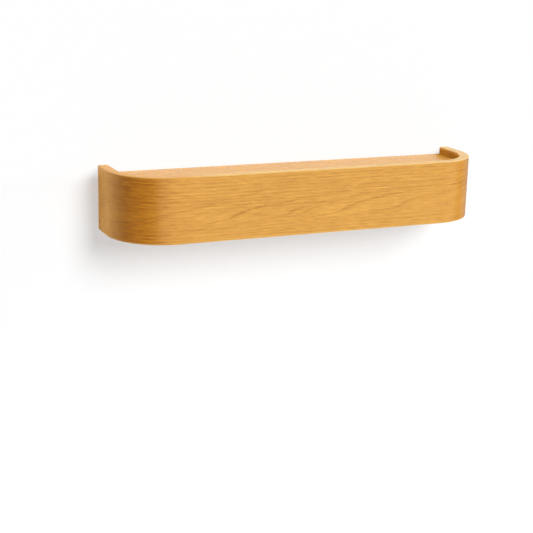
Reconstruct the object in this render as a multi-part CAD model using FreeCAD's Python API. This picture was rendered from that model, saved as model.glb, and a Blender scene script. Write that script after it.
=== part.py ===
import FreeCAD, Part
import math
import os

# Wall coat rack with a shelf. One bent oak band wraps the front and both ends of a shelf board.
# Behind the band, turned pegs stand on a back rail, and keyhole plates let into that rail hang
# the rack on two wall screws.
# Millimetres. X runs along the rack, -Y points away from the wall and Z is up.
# Heights are measured from the band's lower edge. The solids are saved with their origin on the
# wall, midway between the two keyholes.

# Band
rack_length = 800.0
rack_depth = 165.0
band_height = 130.0
band_thickness = 20.0
corner_radius = 110.0
band_edge_round = 2.0

# Shelf board, held by a tongue in the band's groove
rim_height = 15.0
shelf_thickness = 18.0
shelf_gap = 0.2
tongue_thickness = 8.0
groove_depth = 6.0

# Back rail, let into a rebate at each end of the band
rail_height = 70.0
rail_thickness = 22.0
rail_edge_round = 2.0
rebate_depth = 12.0

# Turned pegs
peg_count = 5
peg_end_margin = 100.0
peg_reach = 68.0
peg_base_diameter = 22.0
peg_base_land = 3.0
peg_neck_diameter = 13.5
peg_head_diameter = 27.0
peg_rim_land = 3.0
peg_rim_round = 1.2
peg_dome = 8.0
tenon_diameter = 13.0
tenon_length = 17.0
tenon_chamfer = 1.0
peg_axis_share = 0.33
peg_neck_share = 0.62

# Dowels between the rail and the shelf, one above each peg
dowel_diameter = 8.0
dowel_length = 35.0
dowel_in_shelf = 12.0
dowel_chamfer = 1.0

# Screws through the rail's ends into the band
end_screw_diameter = 3.5
end_screw_head = 7.0
end_screw_length = 50.0
end_screw_point = 5.0
end_screw_share = 0.28

# Keyhole plates, midway between the two outer pegs at each end
plate_length = 50.0
plate_width = 18.0
plate_thickness = 2.0
keyhole_diameter = 9.5
keyhole_slot_width = 5.0
keyhole_rise = 12.0
keyhole_drop = 5.0
head_pocket_width = 11.0
head_pocket_depth = 9.0
plate_screw_diameter = 3.0
plate_screw_head = 6.0
plate_screw_length = 14.0
plate_screw_point = 3.0

# Clearances, and how far every cut runs past the face that it opens
glue_gap = 0.05
slide_gap = 0.1
blind_gap = 0.5
head_sink = 0.1
overrun = 2.0

# Distances under this count as none
tolerance = 0.001

# Places that follow from the sizes
inner_half = rack_length / 2 - band_thickness
shelf_top = band_height - rim_height
shelf_underside = shelf_top - shelf_thickness
tongue_low = shelf_underside + (shelf_thickness - tongue_thickness) / 2
rail_low = shelf_underside - rail_height
rail_middle = shelf_underside - rail_height / 2
rail_half = inner_half + rebate_depth - slide_gap
peg_pitch = 2 * (inner_half - peg_end_margin) / (peg_count - 1)
peg_places = [(n - (peg_count - 1) / 2) * peg_pitch for n in range(peg_count)]
peg_height = rail_low + rail_height * peg_axis_share
plate_place = (peg_count / 2 - 1) * peg_pitch
keyhole_height = rail_middle - keyhole_drop
end_screw_place = inner_half + rebate_depth / 2
end_screw_rise = rail_height * end_screw_share

V = FreeCAD.Vector
WALL_AXIS = V(0, 1, 0)
UP = V(0, 0, 1)


def line(start, end):
    """A straight edge between two points."""
    return Part.LineSegment(start, end).toShape()


def arc(start, middle, end):
    """A round edge through three points."""
    return Part.Arc(start, middle, end).toShape()


def plan_path(inset, back):
    """The band's outline in plan, set in from its outer face, from the left back to the right back."""
    half = rack_length / 2 - inset
    front = inset - rack_depth
    radius = corner_radius - inset
    turn_y = front + radius
    turn_x = half - radius
    lean = radius * math.sqrt(0.5)
    left_turn = [V(-half, turn_y, 0), V(-turn_x - lean, turn_y - lean, 0), V(-turn_x, front, 0)]
    right_turn = [V(turn_x, front, 0), V(turn_x + lean, turn_y - lean, 0), V(half, turn_y, 0)]
    return [
        line(V(-half, back, 0), left_turn[0]),
        arc(*left_turn),
        line(left_turn[-1], right_turn[0]),
        arc(*right_turn),
        line(right_turn[-1], V(half, back, 0)),
    ]


def ends_of(path):
    """The first and last point of a plan path."""
    points = [edge.Vertexes for edge in path]
    return points[0][0].Point, points[-1][-1].Point


def plan_board(inset, low, thickness):
    """A board that fills the plan outline, with a straight back edge on the wall."""
    path = plan_path(inset, 0)
    start, end = ends_of(path)
    face = Part.Face(Part.Wire(path + [line(end, start)]))
    face.translate(UP * low)
    return face.extrude(UP * thickness)


def plan_strip(outer_inset, inner_inset, low, height, back):
    """A U-shaped strip between two plan outlines, open at the wall."""
    outer = plan_path(outer_inset, back)
    inner = plan_path(inner_inset, back)
    outer_start, outer_end = ends_of(outer)
    inner_start, inner_end = ends_of(inner)
    closing = [line(outer_end, inner_end)] + inner[::-1] + [line(inner_start, outer_start)]
    face = Part.Face(Part.Wire(outer + closing))
    face.translate(UP * low)
    return face.extrude(UP * height)


def turned(edges, place):
    """A turned solid from a half profile of (radius, y) edges, about an axis square to the wall."""
    solid = Part.Face(Part.Wire(edges)).revolve(V(0, 0, 0), WALL_AXIS, 360)
    solid.translate(place)
    return solid


def joined(points):
    """The closed half profile through (radius, y) points, with straight edges."""
    corners = [V(radius, y, 0) for radius, y in points]
    return [line(a, b) for a, b in zip(corners, corners[1:] + corners[:1])]


def cove(end_radius, end_y, neck_radius, neck_y):
    """The middle point of a hollow curve that leaves the neck parallel to the axis."""
    rise = end_radius - neck_radius
    run = end_y - neck_y
    radius = (rise * rise + run * run) / (2 * rise)
    half_turn = math.asin(run / radius) / 2
    return V(neck_radius + radius * (1 - math.cos(half_turn)), neck_y + radius * math.sin(half_turn), 0)


def upright_slot(x, low, high, radius, front, back):
    """A prism with round ends: arcs at two heights, between two distances from the wall."""
    left, right = x - radius, x + radius
    outline = [
        line(V(left, front, high), V(left, front, low)),
        arc(V(left, front, low), V(x, front, low - radius), V(right, front, low)),
        line(V(right, front, low), V(right, front, high)),
        arc(V(right, front, high), V(x, front, high + radius), V(left, front, high)),
    ]
    return Part.Face(Part.Wire(outline)).extrude(WALL_AXIS * (back - front))


def block(x_low, x_high, y_low, y_high, z_low, z_high):
    """A rectangular block between two corners."""
    size = (x_high - x_low, y_high - y_low, z_high - z_low)
    return Part.makeBox(*size, V(x_low, y_low, z_low))


def screw(x, z, diameter, head, length, point):
    """A countersunk wood screw driven from the wall side, its head just under the surface."""
    seat = -head_sink - (head - diameter) / 2
    points = [
        (0, -head_sink),
        (head / 2, -head_sink),
        (diameter / 2, seat),
        (diameter / 2, point - length),
        (0, -length),
    ]
    return turned(joined(points), V(x, 0, z))


def screw_hole(x, z, diameter, head, length):
    """The countersunk hole that takes such a screw."""
    seat = -head_sink - (head - diameter) / 2
    mouth_radius = head / 2 + glue_gap
    shank_radius = diameter / 2 + glue_gap
    points = [
        (0, overrun),
        (mouth_radius, overrun),
        (mouth_radius, -head_sink),
        (shank_radius, seat),
        (shank_radius, -length - blind_gap),
        (0, -length - blind_gap),
    ]
    return turned(joined(points), V(x, 0, z))


def end_screw_places():
    """The four places (x, z) of the screws through the rail's ends."""
    heights = (rail_middle - end_screw_rise, rail_middle + end_screw_rise)
    return [(side * end_screw_place, z) for side in (-1, 1) for z in heights]


def plate_screw_places(x):
    """The two places (x, z) of the screws that hold one keyhole plate."""
    reach = (plate_length - plate_width) / 2
    return [(x, rail_middle - reach), (x, rail_middle + reach)]


def end_screw_hole(x, z):
    """The hole for one screw through the rail's end."""
    return screw_hole(x, z, end_screw_diameter, end_screw_head, end_screw_length)


def plate_screw_hole(x, z):
    """The hole for one keyhole plate screw."""
    return screw_hole(x, z, plate_screw_diameter, plate_screw_head, plate_screw_length)


def round_edges(solid):
    """The circular edges of a solid."""
    return [edge for edge in solid.Edges if not edge.Degenerated and isinstance(edge.Curve, Part.Circle)]


def along_the_plan(edge):
    """Whether an edge is level and doesn't lie on the wall."""
    box = edge.BoundBox
    return box.ZLength < tolerance and box.YMin < -tolerance


def front_band():
    """The bent band: its returns, corners and front in one piece, with the shelf's groove."""
    band = plan_strip(0, band_thickness, 0, band_height, 0)
    band = band.makeFillet(band_edge_round, [edge for edge in band.Edges if along_the_plan(edge)])
    groove = plan_strip(
        band_thickness - groove_depth,
        band_thickness + overrun,
        tongue_low - slide_gap,
        tongue_thickness + 2 * slide_gap,
        overrun,
    )
    band = band.cut(groove)
    rebate_inner = inner_half - overrun
    rebate_outer = inner_half + rebate_depth
    rebate_front = -rail_thickness - glue_gap
    for low, high in ((-rebate_outer, -rebate_inner), (rebate_inner, rebate_outer)):
        rebate = block(low, high, rebate_front, overrun, rail_low - slide_gap, shelf_underside)
        band = band.cut(rebate)
    for x, z in end_screw_places():
        band = band.cut(end_screw_hole(x, z))
    return band


def shelf_board():
    """The shelf, with its tongue on three sides and the dowel holes in its underside."""
    board = plan_board(band_thickness + shelf_gap, shelf_underside, shelf_thickness)
    tongue = plan_board(band_thickness - groove_depth + slide_gap, tongue_low, tongue_thickness)
    board = board.fuse(tongue).removeSplitter()
    radius = dowel_diameter / 2 + glue_gap
    depth = dowel_in_shelf + blind_gap
    for x in peg_places:
        mouth = V(x, -rail_thickness / 2, shelf_underside - overrun)
        board = board.cut(Part.makeCylinder(radius, depth + overrun, mouth, UP))
    return board


def back_rail():
    """The rail, with its mortises, dowel holes, screw holes and keyhole plate recesses."""
    rail = block(-rail_half, rail_half, -rail_thickness, 0, rail_low, shelf_underside)
    low_front = [
        edge
        for edge in rail.Edges
        if edge.BoundBox.YMax < -rail_thickness / 2 and edge.BoundBox.ZMax < rail_middle
    ]
    rail = rail.makeFillet(rail_edge_round, low_front)
    mortise_depth = tenon_length + glue_gap
    dowel_depth = dowel_length - dowel_in_shelf + blind_gap
    for x in peg_places:
        mouth = V(x, -rail_thickness - overrun, peg_height)
        rail = rail.cut(
            Part.makeCylinder(tenon_diameter / 2 + glue_gap, mortise_depth + overrun, mouth, WALL_AXIS)
        )
        floor = V(x, -rail_thickness / 2, shelf_underside - dowel_depth)
        rail = rail.cut(Part.makeCylinder(dowel_diameter / 2 + glue_gap, dowel_depth + overrun, floor, UP))
    for x, z in end_screw_places():
        rail = rail.cut(end_screw_hole(x, z))
    reach = (plate_length - plate_width) / 2
    recess_radius = plate_width / 2 + slide_gap
    for x in (-plate_place, plate_place):
        recess = upright_slot(
            x, rail_middle - reach, rail_middle + reach, recess_radius, -plate_thickness, overrun
        )
        pocket = upright_slot(
            x,
            keyhole_height,
            keyhole_height + keyhole_rise,
            head_pocket_width / 2,
            -plate_thickness - head_pocket_depth,
            overrun,
        )
        rail = rail.cut(recess).cut(pocket)
        for place in plate_screw_places(x):
            rail = rail.cut(plate_screw_hole(*place))
    return rail


def peg(x):
    """One turned peg: tenon, flared base, waisted neck and a domed head."""
    base, neck, head = peg_base_diameter / 2, peg_neck_diameter / 2, peg_head_diameter / 2
    tenon = tenon_diameter / 2
    base_y = -peg_base_land
    neck_y = -peg_reach * peg_neck_share
    rim_front_y = peg_dome - peg_reach
    rim_back_y = rim_front_y + peg_rim_land
    dome_radius = (head * head + peg_dome * peg_dome) / (2 * peg_dome)
    dome_lean = math.asin(head / dome_radius) / 2
    dome_middle = V(
        dome_radius * math.sin(dome_lean),
        dome_radius * (1 - math.cos(dome_lean)) - peg_reach,
        0,
    )
    tip = V(0, -peg_reach, 0)
    foot = V(0, tenon_length, 0)
    tenon_points = [
        foot,
        V(tenon - tenon_chamfer, tenon_length, 0),
        V(tenon, tenon_length - tenon_chamfer, 0),
        V(tenon, 0, 0),
        V(base, 0, 0),
        V(base, base_y, 0),
    ]
    outline = [line(a, b) for a, b in zip(tenon_points, tenon_points[1:])]
    outline += [
        arc(tenon_points[-1], cove(base, base_y, neck, neck_y), V(neck, neck_y, 0)),
        arc(V(neck, neck_y, 0), cove(head, rim_back_y, neck, neck_y), V(head, rim_back_y, 0)),
        line(V(head, rim_back_y, 0), V(head, rim_front_y, 0)),
        arc(V(head, rim_front_y, 0), dome_middle, tip),
        line(tip, foot),
    ]
    solid = turned(outline, V(x, -rail_thickness, peg_height))
    rims = [edge for edge in round_edges(solid) if math.isclose(edge.Curve.Radius, head)]
    return solid.makeFillet(peg_rim_round, rims)


def rail_dowels():
    """The dowels that stand in the rail's top edge and reach into the shelf."""
    low = shelf_underside + dowel_in_shelf - dowel_length
    dowels = []
    for x in peg_places:
        pin = Part.makeCylinder(dowel_diameter / 2, dowel_length, V(x, -rail_thickness / 2, low), UP)
        dowels.append(pin.makeChamfer(dowel_chamfer, round_edges(pin)))
    return Part.makeCompound(dowels)


def rail_end_screws():
    """The screws that pull the rail's ends into the band's rebates."""
    sizes = (end_screw_diameter, end_screw_head, end_screw_length, end_screw_point)
    return Part.makeCompound([screw(x, z, *sizes) for x, z in end_screw_places()])


def keyhole_plate(x):
    """One steel keyhole plate, flush with the rail's wall side."""
    reach = (plate_length - plate_width) / 2
    plate = upright_slot(
        x, rail_middle - reach, rail_middle + reach, plate_width / 2, -plate_thickness, 0
    )
    front, back = -plate_thickness - overrun, overrun
    slot = upright_slot(
        x, keyhole_height, keyhole_height + keyhole_rise, keyhole_slot_width / 2, front, back
    )
    entry = Part.makeCylinder(keyhole_diameter / 2, back - front, V(x, front, keyhole_height), WALL_AXIS)
    plate = plate.cut(slot.fuse(entry))
    for place in plate_screw_places(x):
        plate = plate.cut(plate_screw_hole(*place))
    return plate


def keyhole_plate_screws():
    """The screws that hold both keyhole plates."""
    sizes = (plate_screw_diameter, plate_screw_head, plate_screw_length, plate_screw_point)
    places = plate_screw_places(-plate_place) + plate_screw_places(plate_place)
    return Part.makeCompound([screw(x, z, *sizes) for x, z in places])


def save(name, shape):
    """Writes one piece, with the origin on the wall midway between the keyholes."""
    shape.translated(UP * -keyhole_height).exportStep(f"parts/{name}.step")


os.makedirs("parts", exist_ok=True)
save("front_band", front_band())
save("shelf_board", shelf_board())
save("back_rail", back_rail())
for number, place in enumerate(peg_places, start=1):
    save(f"peg_{number}", peg(place))
save("rail_dowels", rail_dowels())
save("rail_end_screws", rail_end_screws())
save("keyhole_plate_left", keyhole_plate(-plate_place))
save("keyhole_plate_right", keyhole_plate(plate_place))
save("keyhole_plate_screws", keyhole_plate_screws())
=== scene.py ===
"""Looks of a wall coat rack with a shelf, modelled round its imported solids. Metres throughout."""

import logging
import math
from contextlib import contextmanager
from dataclasses import dataclass, field
from enum import Enum
from typing import Callable, Iterable, Iterator, Mapping, Sequence, Union

import bmesh
import bpy
from mathutils import Matrix, Vector


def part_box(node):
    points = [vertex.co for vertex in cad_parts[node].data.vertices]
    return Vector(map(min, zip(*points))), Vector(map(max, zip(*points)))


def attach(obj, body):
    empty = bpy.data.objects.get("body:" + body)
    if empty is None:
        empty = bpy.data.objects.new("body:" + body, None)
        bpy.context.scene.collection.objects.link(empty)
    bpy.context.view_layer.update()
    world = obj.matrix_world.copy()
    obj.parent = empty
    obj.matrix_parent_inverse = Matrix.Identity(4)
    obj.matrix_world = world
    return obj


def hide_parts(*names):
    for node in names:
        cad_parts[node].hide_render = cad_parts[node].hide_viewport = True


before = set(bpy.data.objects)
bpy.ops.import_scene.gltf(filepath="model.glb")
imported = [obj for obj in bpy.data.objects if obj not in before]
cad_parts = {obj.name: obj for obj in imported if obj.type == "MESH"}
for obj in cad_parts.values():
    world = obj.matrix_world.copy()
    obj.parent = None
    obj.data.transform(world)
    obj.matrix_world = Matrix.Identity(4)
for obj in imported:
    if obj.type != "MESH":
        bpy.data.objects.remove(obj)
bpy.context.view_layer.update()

LOG = logging.getLogger("coat_rack")
BODY = "root"
GRAIN_MAP = "grain"
NOISE_MEAN = 0.5
SMOOTH_ANGLE = math.radians(32)
MERGE_DISTANCE = 0.00001
CUT_OVERRUN = 0.003
ROUND_PROFILE = 0.5
INWARDS = -1.0
FACE_WEIGHT = 100
FRONT = Vector((0.0, -1.0, 0.0))
BACK = Vector((0.0, 1.0, 0.0))
UP = Vector((0.0, 0.0, 1.0))
WHITE = (1.0, 1.0, 1.0)

Piece = bpy.types.Object
Number = Union[float, "Signal"]
Triple = tuple[float, float, float]
Colour = Union[Triple, "Signal"]
Stops = tuple[tuple[float, float], ...]
Profile = list[tuple[float, float]]


class Pick(Enum):
    """What an edit-mode operator works on."""

    VERT = "VERT"
    EDGE = "EDGE"
    FACE = "FACE"


class Join(Enum):
    """How a shape acts on a piece."""

    CUT = "DIFFERENCE"
    ADD = "UNION"


class Blending(Enum):
    """How one colour goes into another."""

    PLAIN = "MIX"
    TINT = "MULTIPLY"


class LampKind(Enum):
    """What kind of lamp lights the rack."""

    SUN = "SUN"
    AREA = "AREA"


class GrainCourse(Enum):
    """How the grain lies on a piece of oak."""

    UNROLLED = "round the bend, from the piece's own map"
    LENGTHWISE = "along the rack, folded over the edges"
    TURNED = "along the peg, through solid wood"


class BandFace(Enum):
    """Which side of the band a face lies on, as its place in the band's list of finishes."""

    OUTSIDE = 0
    EDGE = 1
    INSIDE = 2


def linear(level: int) -> float:
    """The linear value of one channel of an 8-bit display colour, by the sRGB curve."""
    share = level / 255
    return share / 12.92 if share <= 0.04045 else ((share + 0.055) / 1.055) ** 2.4


def srgb(red: int, green: int, blue: int) -> Triple:
    """The linear colour of an 8-bit display colour."""
    return linear(red), linear(green), linear(blue)


def give(target: object, settings: Mapping[str, object]) -> None:
    """Sets properties on something, by their names."""
    for key, value in settings.items():
        setattr(target, key, value)


@dataclass(frozen=True)
class Signal:
    """A value, place, colour or shader on a board. Values can be reckoned with like numbers."""

    board: "NodeBoard"
    socket: bpy.types.NodeSocket

    def __add__(self, other: Number) -> "Signal":
        """The sum of two values."""
        return self.board.reckon("ADD", self, other)

    def __sub__(self, other: Number) -> "Signal":
        """What is left when another value is taken away."""
        return self.board.reckon("SUBTRACT", self, other)

    def __rsub__(self, other: float) -> "Signal":
        """What is left of a number when this value is taken away."""
        return self.board.reckon("SUBTRACT", other, self)

    def __mul__(self, other: Number) -> "Signal":
        """The product of two values."""
        return self.board.reckon("MULTIPLY", self, other)

    def __truediv__(self, other: Number) -> "Signal":
        """The quotient of two values."""
        return self.board.reckon("DIVIDE", self, other)

    def line(self, slope: float, start: float) -> "Signal":
        """The value times a slope, plus a start."""
        return self.board.reckon("MULTIPLY_ADD", self, slope, start)

    def span(self, low: float, high: float, to_low: float = 0.0, to_high: float = 1.0) -> "Signal":
        """Maps the range from low to high smoothly onto another one, and holds it there."""
        inputs = dict(enumerate((self, low, high, to_low, to_high)))
        return self.board.draw("ShaderNodeMapRange", 0, inputs, interpolation_type="SMOOTHSTEP")

    def ramp(self, stops: Sequence[tuple[float, float]]) -> "Signal":
        """A level that runs through given stops.

        Args:
            stops: (value, level), in order.

        Returns:
            The level.
        """
        start, reach = stops[0][0], stops[-1][0] - stops[0][0]
        made = self.board.node("ShaderNodeValToRGB", {0: self.line(1.0 / reach, -start / reach)})
        elements = made.color_ramp.elements
        while len(elements) < len(stops):
            elements.new(1.0)
        for element, (place, level) in zip(elements, stops):
            element.position = (place - start) / reach
            element.color = (level, level, level, 1.0)
        return Signal(self.board, made.outputs[0])


class NodeBoard:
    """Draws the nodes of one material or world."""

    def __init__(self, tree: bpy.types.NodeTree) -> None:
        """Takes a node tree and clears it."""
        self.tree = tree
        tree.nodes.clear()

    def node(self, kind: str, inputs: Mapping[Union[int, str], object], **settings: object) -> bpy.types.Node:
        """Adds a node.

        Args:
            kind: Blender's name for the node.
            inputs: constants and signals for its sockets, by number or name.
            settings: properties to set on it.

        Returns:
            The new node.
        """
        made = self.tree.nodes.new(kind)
        give(made, settings)
        for key, value in inputs.items():
            target = made.inputs[key]
            if isinstance(value, Signal):
                self.tree.links.new(value.socket, target)
            else:
                target.default_value = (*value, 1.0) if target.type == "RGBA" else value
        return made

    def draw(self, kind: str, output: Union[int, str], inputs: Mapping, **settings: object) -> Signal:
        """Adds a node and gives one of its outputs."""
        return Signal(self, self.node(kind, inputs, **settings).outputs[output])

    def reckon(self, operation: str, *numbers: Number) -> Signal:
        """The result of a Math node."""
        return self.draw("ShaderNodeMath", 0, dict(enumerate(numbers)), operation=operation)

    def point(self, *parts: Number) -> Signal:
        """A place from its parts."""
        return self.draw("ShaderNodeCombineXYZ", 0, dict(enumerate(parts)))

    def parts(self, place: Signal) -> list[Signal]:
        """The x, y and z of a place."""
        return [Signal(self, part) for part in self.node("ShaderNodeSeparateXYZ", {0: place}).outputs]

    def own_place(self) -> Signal:
        """The place on the piece itself."""
        return self.draw("ShaderNodeTexCoord", "Object", {})

    def unrolled_place(self) -> list[Signal]:
        """The places along and across the piece's own map."""
        return self.parts(self.draw("ShaderNodeUVMap", 0, {}, uv_map=GRAIN_MAP))[:2]

    def blend(self, share: Signal, first: Colour, second: Colour, how: Blending = Blending.PLAIN) -> Signal:
        """Mixes a share of a second colour into a first one."""
        inputs = {"Factor": share, 6: first, 7: second}
        return self.draw("ShaderNodeMix", 2, inputs, data_type="RGBA", blend_type=how.value)

    def mixed(self, share: Signal, first: Signal, second: Signal) -> Signal:
        """Mixes a share of a second shader into a first one."""
        return self.draw("ShaderNodeMixShader", 0, {0: share, 1: first, 2: second})


@dataclass(frozen=True)
class Finish:
    """A finish that is drawn with nodes."""

    name: str

    def surface(self, board: NodeBoard) -> dict[str, object]:
        """What goes into the sockets of the principled surface."""
        raise NotImplementedError(self.name)

    def shader(self, board: NodeBoard) -> Signal:
        """The whole shader."""
        return board.draw("ShaderNodeBsdfPrincipled", "BSDF", self.surface(board))

    def material(self) -> bpy.types.Material:
        """Draws the finish.

        Returns:
            The material.
        """
        made = bpy.data.materials.new(self.name)
        made.use_nodes = True
        board = NodeBoard(made.node_tree)
        board.node("ShaderNodeOutputMaterial", {"Surface": self.shader(board)})
        return made


@dataclass(frozen=True)
class Noise:
    """Noise in patches of a given size, and the part of its range that shows."""

    patch: Triple
    octaves: float = 2.0
    low: float = 0.0
    high: float = 1.0
    least: float = 0.0
    roughness: float = 0.6

    def whole(self, place: Signal) -> Signal:
        """The whole noise, from 0 to 1 and mostly near its mean.

        Args:
            place: where it is read.

        Returns:
            The noise.
        """
        draw = place.board.draw
        patches = draw("ShaderNodeVectorMath", 0, {0: place, 1: self.patch}, operation="DIVIDE")
        inputs = {"Vector": patches, "Scale": 1.0, "Detail": self.octaves, "Roughness": self.roughness}
        return draw("ShaderNodeTexNoise", "Fac", inputs)

    def shown(self, place: Signal) -> Signal:
        """The part of the noise that shows, from its least level to 1."""
        return self.whole(place).span(self.low, self.high, self.least)


@dataclass(frozen=True)
class Relief:
    """A fine relief: what a height of 1 stands for, and how much of it shows."""

    depth: float
    strength: float

    def of(self, height: Signal) -> Signal:
        """The normals of a surface with given heights."""
        inputs = {"Strength": self.strength, "Distance": self.depth, "Height": height}
        return height.board.draw("ShaderNodeBump", "Normal", inputs)


@dataclass(frozen=True)
class OakFigure:
    """Where the growth rings cross the face of one oak piece."""

    turn_height: float
    lean: float = 1.0
    crown_opening: float = 0.0064
    foot_opening: float = 0.0017
    bold_rings: Stops = ()
    ring_shape: Stops = ((-0.004, 0.0), (0.0, 1.0), (0.007, 0.6), (0.019, 0.0))
    bold_reach: tuple[float, float] = (0.006, 0.085)
    fine_rings: Noise = Noise((0.060, 0.16, 1.0), 3.0, 0.40, 0.62, roughness=0.65)
    comb_pitch: float = 0.0064
    comb_stray: float = 0.011
    comb_reach: tuple[float, float] = (0.004, 0.030)
    comb_least: float = 0.3
    drift: float = 0.008
    ripple: float = 0.0030
    pith_pitch: float = 0.05
    pith_aside: float = 0.012
    pith_drop: float = 0.03
    seed: float = 0.0


@dataclass(frozen=True)
class OakFinish(Finish):
    """Satin-lacquered oak."""

    course: GrainCourse
    figure: OakFigure
    pale: Triple = srgb(242, 182, 84)
    deep: Triple = srgb(180, 116, 39)
    # Painted shade: a tint multiplied into the tone over the stretches given below, deeper and more amber
    # where shade falls.
    painted_shade_tint: Triple = (0.90, 0.68, 0.30)
    pore: Triple = srgb(120, 70, 26)
    bold_weight: float = 0.42
    fine_weight: float = 0.12
    comb_weight: float = 0.26
    streak_weight: float = 0.13
    hair_weight: float = 0.34
    cloud_weight: float = 0.08
    pore_weight: float = 0.45
    bold_mix: tuple[float, float] = (0.3, 0.8)
    fine_mix: tuple[float, float] = (0.4, 0.6)
    pore_mix: tuple[float, float] = (0.7, 0.3)
    streaks: Noise = Noise((0.10, 0.0016, 1.0), 2.0, 0.38, 0.62)
    hairs: Noise = Noise((0.024, 0.0010, 1.0), 2.0, 0.40, 0.60)
    pores: Noise = Noise((0.010, 0.0003, 1.0), 1.0, 0.58, 0.70)
    clouds: Noise = Noise((0.30, 0.06, 1.0), 3.0, 0.30, 0.72)
    drifts: Noise = Noise((0.38, 0.11, 1.0))
    ripples: Noise = Noise((0.024, 0.011, 1.0))
    strays: Noise = Noise((0.30, 0.018, 1.0))
    comb_breaks: Noise = Noise((0.030, 0.005, 1.0), 2.0, 0.34, 0.62, 0.45)
    # Painted shade: where the tint goes, and whether its stretches run along the grain map or across it.
    painted_shade_stretches: Stops = ()
    painted_shade_runs_along: bool = True
    line_stretches: Stops = ()
    roughness: tuple[float, float] = (0.24, 0.36)
    hair_dulling: float = 0.4
    gloss_level: float = 0.5
    pore_sink: float = 0.8
    hair_sink: float = 0.2
    relief: Relief = Relief(0.00008, 0.35)

    def course_of(self, board: NodeBoard) -> tuple[Signal, Signal]:
        """The places along and across the grain.

        Args:
            board: the material being drawn.

        Returns:
            The place along the grain and the place across it.
        """
        if self.course is GrainCourse.UNROLLED:
            along, across = board.unrolled_place()
            return along, across
        x, y, z = board.parts(board.own_place())
        if self.course is GrainCourse.LENGTHWISE:
            return x, y + z
        pith_x = board.reckon("PINGPONG", x, self.figure.pith_pitch) + self.figure.pith_aside
        pith_z = z + self.figure.pith_drop
        return y, board.reckon("SQRT", pith_x * pith_x + pith_z * pith_z)

    def sway(self, along: Signal, across: Signal, noise: Noise, reach: float) -> Signal:
        """How far a line strays to either side, by noise with a given reach."""
        return (noise.whole(along.board.point(along, across, self.figure.seed)) - NOISE_MEAN) * reach

    def age(self, along: Signal, off: Signal) -> Signal:
        """Which growth ring shows at a place, as the place along the turning line where it crosses.

        Args:
            along: the place along the grain.
            off: the height above the line where the rings turn.

        Returns:
            The ring's place.
        """
        above, below = (off.board.reckon(side, off, 0.0) for side in ("MAXIMUM", "MINIMUM"))
        crown = above * above / self.figure.crown_opening
        foot = below * below / self.figure.foot_opening
        return along - off * self.figure.lean - crown + foot

    def rings(self, along: Signal, across: Signal) -> tuple[Number, Signal]:
        """The dark bands of the growth rings.

        Args:
            along: the place along the grain.
            across: the place across it.

        Returns:
            How dark the bold rings are, and how dark the fine ones are.
        """
        figure = self.figure
        off = across - figure.turn_height
        fine = figure.fine_rings.shown(off.board.point(self.age(along, off), along, figure.seed))
        if not figure.bold_rings:
            return 0.0, fine
        stops = [
            (place + step, weight * share)
            for place, weight in figure.bold_rings
            for step, share in figure.ring_shape
        ]
        rippled = off + self.sway(along, across, self.ripples, figure.ripple)
        near = off.board.reckon("ABSOLUTE", off).span(*figure.bold_reach, 1.0, 0.0)
        return self.age(along, rippled).ramp(stops) * near, fine

    def comb(self, along: Signal, across: Signal) -> Signal:
        """The thin lines that lie nearly even on both sides of the line where the rings turn.

        Args:
            along: the place along the grain.
            across: the place across it.

        Returns:
            How dark they are.
        """
        figure, board = self.figure, along.board
        place = across + self.sway(along, across, self.strays, figure.comb_stray)
        tooth = board.reckon("PINGPONG", place / figure.comb_pitch, 0.5).span(0.0, 0.5, 1.0, 0.0)
        off = board.reckon("ABSOLUTE", across - figure.turn_height)
        strength = self.comb_breaks.shown(board.point(along, across, figure.seed))
        return tooth * strength * off.span(*figure.comb_reach, figure.comb_least, 1.0)

    def surface(self, board: NodeBoard) -> dict[str, object]:
        """What goes into the sockets of the principled surface.

        Args:
            board: the material being drawn.

        Returns:
            Constants and signals by the sockets' names.
        """
        along, straight = self.course_of(board)
        across = straight + self.sway(along, straight, self.drifts, self.figure.drift)
        bold, fine = self.rings(along, across)
        place = board.point(along, across, self.figure.seed)
        noises = (self.streaks, self.hairs, self.pores, self.clouds)
        streak, hair, pore, cloud = (noise.shown(place) for noise in noises)
        lines = hair * self.hair_weight + streak * self.streak_weight
        lines = lines + self.comb(along, across) * self.comb_weight
        if self.line_stretches:
            lines = lines * along.ramp(self.line_stretches)
        dark = streak.line(*self.bold_mix) * bold * self.bold_weight
        dark = dark + streak.line(*self.fine_mix) * fine * self.fine_weight
        dark = dark + cloud * self.cloud_weight + lines
        tone = board.blend(board.reckon("MINIMUM", dark, 1.0), self.pale, self.deep)
        # Painted shade: the tint multiplied into the tone by place on the grain map.
        if self.painted_shade_stretches:
            course = along if self.painted_shade_runs_along else straight
            tone = board.blend(course.ramp(self.painted_shade_stretches), tone, self.painted_shade_tint, Blending.TINT)
        pored = pore * board.reckon("MAXIMUM", bold, fine).line(*self.pore_mix)
        sunk = pored * self.pore_sink + hair * self.hair_sink
        return {
            "Base Color": board.blend(pored * self.pore_weight, tone, self.pore),
            "Roughness": (hair * self.hair_dulling + pored).span(0.0, 1.0, *self.roughness),
            "Specular IOR Level": self.gloss_level,
            "Normal": self.relief.of(1.0 - sunk),
        }


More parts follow.
